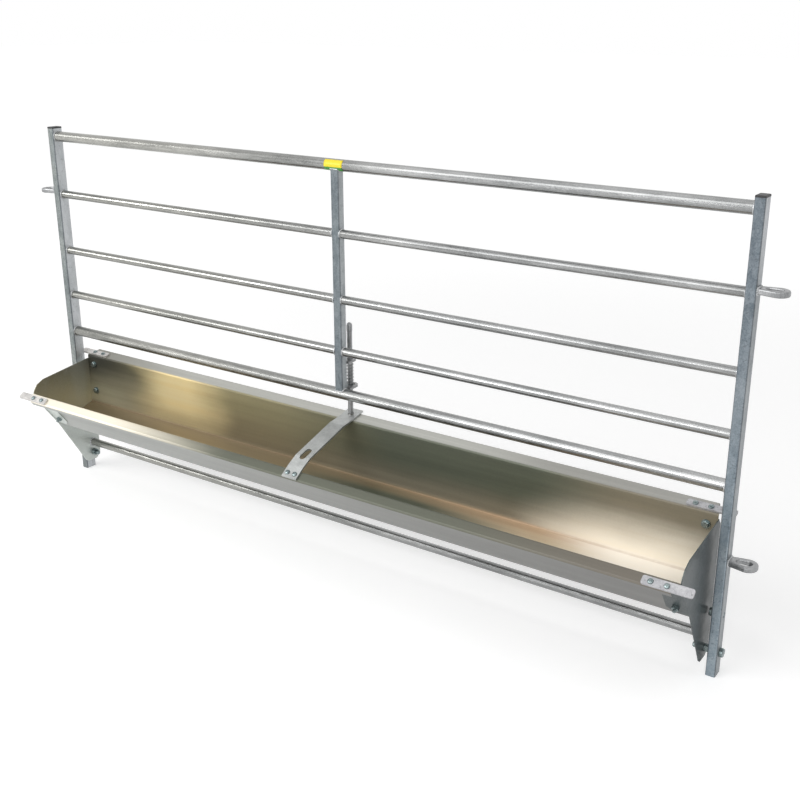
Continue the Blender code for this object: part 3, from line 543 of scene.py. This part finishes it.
class Beads:
    """Bumpy weld beads along the seams of one body, as one object."""

    def __init__(self, name, body):
        self.curve = bpy.data.curves.new(name, "CURVE")
        self.curve.dimensions = "3D"
        self.curve.bevel_depth = 1.0
        self.curve.bevel_resolution = 3
        self.curve.use_fill_caps = True
        self.curve.materials.append(weld_metal)
        self.name = name
        self.body = body

    def run(self, points, radius, closed=False):
        """A bead through the points, with even ripples and a little unevenness in its radius."""
        ripple = 0.0022
        ripple_height = 0.16
        unevenness = 0.12
        spline = self.curve.splines.new("POLY")
        spline.points.add(len(points) - 1)
        spline.use_cyclic_u = closed
        spline.use_smooth = True
        travelled = 0.0
        before = points[0]
        for slot, point in zip(spline.points, points):
            travelled += (point - before).length
            before = point
            slot.co = (*point, 1)
            wave = ripple_height * math.sin(travelled / ripple * math.pi)
            wave += chance.uniform(-unevenness, unevenness)
            slot.radius = radius * (1 + wave)

    def ring(self, centre, radius, thickness):
        """A bead round a tube that runs along X."""
        count = 44
        wander = 0.0003
        turn = Vector((1, 0, 0)).to_track_quat("Z", "Y").to_matrix()
        points = []
        for i in range(count):
            angle = 2 * math.pi * i / count
            reach = radius + chance.uniform(-wander, wander)
            spoke = Vector((reach * math.cos(angle), reach * math.sin(angle), 0))
            points.append(Vector(centre) + turn @ spoke)
        self.run(points, thickness, closed=True)

    def line(self, start, end, thickness):
        step = 0.0012
        start, end = Vector(start), Vector(end)
        count = max(4, int((end - start).length / step))
        self.run([start.lerp(end, i / count) for i in range(count + 1)], thickness)

    def tube_ends(self, name, inset, thickness):
        """Rings round both ends of a tube that runs along X."""
        proud = 0.0002
        low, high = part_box(name)
        middle = (low + high) / 2
        radius = (high.z - low.z) / 2
        for x, side in ((low.x, 1), (high.x, -1)):
            self.ring((x + side * inset, middle.y, middle.z), radius + proud, thickness)

    def place(self):
        obj = bpy.data.objects.new(self.name, self.curve)
        scene.collection.objects.link(obj)
        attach(obj, self.body)


post_low, post_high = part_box("middle_post")


def weld_middle_post(beads):
    """The seams between the middle post's two ends and the round rails above and below it."""
    thickness = 0.0017
    steps = 40
    half_x = (post_high.x - post_low.x) / 2
    half_y = (post_high.y - post_low.y) / 2
    top_low, top_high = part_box("top_rail")
    tube_y = (top_low.y + top_high.y) / 2
    for rail, side in (("top_rail", -1), ("trough_rail", 1)):
        low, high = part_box(rail)
        radius = (high.z - low.z) / 2
        axis_z = (low.z + high.z) / 2
        seat_z = axis_z + side * math.sqrt(radius ** 2 - half_y ** 2)
        points = []
        for i in range(steps + 1):
            y = half_y * math.cos(math.pi * i / steps)
            points.append(Vector((half_x, tube_y + y, axis_z + side * math.sqrt(radius ** 2 - y * y))))
        beads.run(points, thickness)
        beads.run([Vector((-p.x, p.y, p.z)) for p in points], thickness)
        for y in (tube_y - half_y, tube_y + half_y):
            beads.line((-half_x, y, seat_z), (half_x, y, seat_z), thickness)


def weld_loop(beads, name):
    """The seam round the root of a joining loop, on the outer face of its post."""
    half_y = 0.0125
    proud = 0.0006
    level_thickness = 0.0021
    upright_thickness = 0.0018
    low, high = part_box(name)
    middle = (low + high) / 2
    root_x = low.x + proud if high.x > 0 else high.x - proud
    near_y, far_y = middle.y - half_y, middle.y + half_y
    for z in (high.z, low.z):
        beads.line((root_x, near_y, z), (root_x, far_y, z), level_thickness)
    for y in (near_y, far_y):
        beads.line((root_x, y, low.z), (root_x, y, high.z), upright_thickness)


def weld_lug(beads, name):
    """The seams under and over a lug of the drop bolt, on the back of the middle post."""
    corner_gap = 0.001
    proud = 0.0004
    thickness = 0.0016
    low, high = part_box(name)
    reach = min(high.x, post_high.x) - corner_gap
    for z in (low.z, high.z):
        beads.line((-reach, low.y + proud, z), (reach, low.y + proud, z), thickness)


def build_welds():
    panel_beads = Beads("panel_weld_beads", "panel")
    for name in nodes:
        if name.endswith("rail") or "_rail_" in name:
            panel_beads.tube_ends(name, inset=0.0004, thickness=0.0016)
    weld_middle_post(panel_beads)
    for name in nodes:
        if name.endswith("_loop"):
            weld_loop(panel_beads, name)
    for name in ("upper_latch_lug", "lower_latch_lug"):
        weld_lug(panel_beads, name)
    panel_beads.place()
    trough_beads = Beads("trough_weld_beads", "trough")
    trough_beads.tube_ends("tie_tube", inset=0.0005, thickness=0.0018)
    trough_beads.place()


# Label
def build_label():
    """The blank label: a film wrapped round the front of the top rail, over the middle post."""
    left_x = -0.0250
    width = 0.0480
    lowest_angle = -62
    wrap_angle = 122
    across, around = 12, 18
    film = 0.0003
    low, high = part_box("top_rail")
    radius = (high.z - low.z) / 2 + film
    middle = (low + high) / 2
    bm = bmesh.new()
    rows = []
    for i in range(around + 1):
        angle = math.radians(lowest_angle + wrap_angle * i / around)
        y = middle.y - radius * math.cos(angle)
        z = middle.z + radius * math.sin(angle)
        rows.append([bm.verts.new((left_x + width * j / across, y, z)) for j in range(across + 1)])
    for lower, upper in zip(rows, rows[1:]):
        for j in range(across):
            bm.faces.new((lower[j], lower[j + 1], upper[j + 1], upper[j]))
    bmesh.ops.recalc_face_normals(bm, faces=bm.faces)
    mesh = bpy.data.meshes.new("panel_label")
    bm.to_mesh(mesh)
    bm.free()
    mesh.shade_smooth()
    label = bpy.data.objects.new("panel_label", mesh)
    scene.collection.objects.link(label)
    wall = label.modifiers.new("film", "SOLIDIFY")
    wall.thickness = film
    wall.offset = 0
    mesh.materials.append(make_label_film(middle.z))
    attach(label, "panel")


build_spring()
build_welds()
build_label()


# Floor, light and camera
def build_floor():
    """A pale floor that keeps the shadow and gets lighter away from the object."""
    half = 30.0
    z = -0.0004
    near_to_far = (1.2, 5.0)
    near_glow, far_glow = 0.36, 0.60
    mesh = bpy.data.meshes.new("studio_floor")
    corners = [(-half, -half, z), (half, -half, z), (half, half, z), (-half, half, z)]
    mesh.from_pydata(corners, [], [(0, 1, 2, 3)])
    floor = bpy.data.objects.new("studio_floor", mesh)
    scene.collection.objects.link(floor)
    t = Tree("pale_floor")
    t.shader.inputs["Base Color"].default_value = (0.86, 0.86, 0.86, 1.0)
    t.shader.inputs["Roughness"].default_value = 0.9
    t.shader.inputs["Specular IOR Level"].default_value = 0.1
    x, y, _ = t.axes()
    glow = t.smooth(t.length(x, y), *near_to_far, near_glow, far_glow)
    t.shader.inputs["Emission Color"].default_value = opaque_white
    t.link(t.times(seen_by_eye(t.tree), glow), t.shader.inputs["Emission Strength"])
    mesh.materials.append(t.material)


def build_world():
    """A white surround: at full strength where it is seen, and weaker as light on the object."""
    light_strength = 0.45
    seen_strength = 1.0
    world = bpy.data.worlds.new("studio")
    world.use_nodes = True
    scene.world = world
    tree = world.node_tree
    background = tree.nodes["Background"]
    strength = tree.nodes.new("ShaderNodeMapRange")
    strength.inputs["To Min"].default_value = light_strength
    strength.inputs["To Max"].default_value = seen_strength
    tree.links.new(seen_by_eye(tree), strength.inputs["Value"])
    background.inputs["Color"].default_value = opaque_white
    tree.links.new(strength.outputs["Result"], background.inputs["Strength"])


def add_lamp(name, place, target, size, power):
    lamp = bpy.data.lights.new(name, "AREA")
    lamp.shape = "RECTANGLE"
    lamp.size, lamp.size_y = size
    lamp.energy = power
    obj = bpy.data.objects.new(name, lamp)
    scene.collection.objects.link(obj)
    obj.location = place
    obj.rotation_mode = "QUATERNION"
    obj.rotation_quaternion = (Vector(target) - Vector(place)).to_track_quat("-Z", "Y")


def build_camera():
    """The photograph's view. Yaw turns the view from +Y towards -X, and pitch looks down."""
    place = (1.43205, -1.75481, 1.22306)
    yaw, pitch, roll = (math.radians(a) for a in (32.951, 19.013, 0.489))
    data = bpy.data.cameras.new("photo_camera")
    camera = bpy.data.objects.new("photo_camera", data)
    scene.collection.objects.link(camera)
    data.sensor_width = 36.0
    data.lens = 48.623
    data.shift_x = -0.0425
    data.shift_y = -0.0225
    level = Vector((-math.sin(yaw), math.cos(yaw), 0))
    right = Vector((math.cos(yaw), math.sin(yaw), 0))
    up = Vector((0, 0, 1))
    forward = math.cos(pitch) * level - math.sin(pitch) * up
    raised = math.cos(pitch) * up + math.sin(pitch) * level
    turned_right = math.cos(roll) * right + math.sin(roll) * raised
    turned_up = -math.sin(roll) * right + math.cos(roll) * raised
    camera.rotation_mode = "QUATERNION"
    camera.rotation_quaternion = Matrix((turned_right, turned_up, -forward)).transposed().to_quaternion()
    camera.location = place
    scene.camera = camera


build_floor()
build_world()
add_lamp("key_light", place=(-2.4, -3.2, 2.0), target=(-0.2, 0, 0.55), size=(5.2, 0.5), power=80)
add_lamp("front_light", place=(-0.8, -2.7, 2.9), target=(0.1, 0, 0.3), size=(3.2, 1.4), power=28)
add_lamp("side_light", place=(2.1, -2.5, 2.0), target=(0.7, 0, 0.3), size=(1.5, 1.5), power=21)
add_lamp("top_light", place=(0.2, -0.4, 3.3), target=(0, 0, 0.4), size=(5.0, 4.0), power=22)
build_camera()
scene.view_settings.view_transform = "Standard"
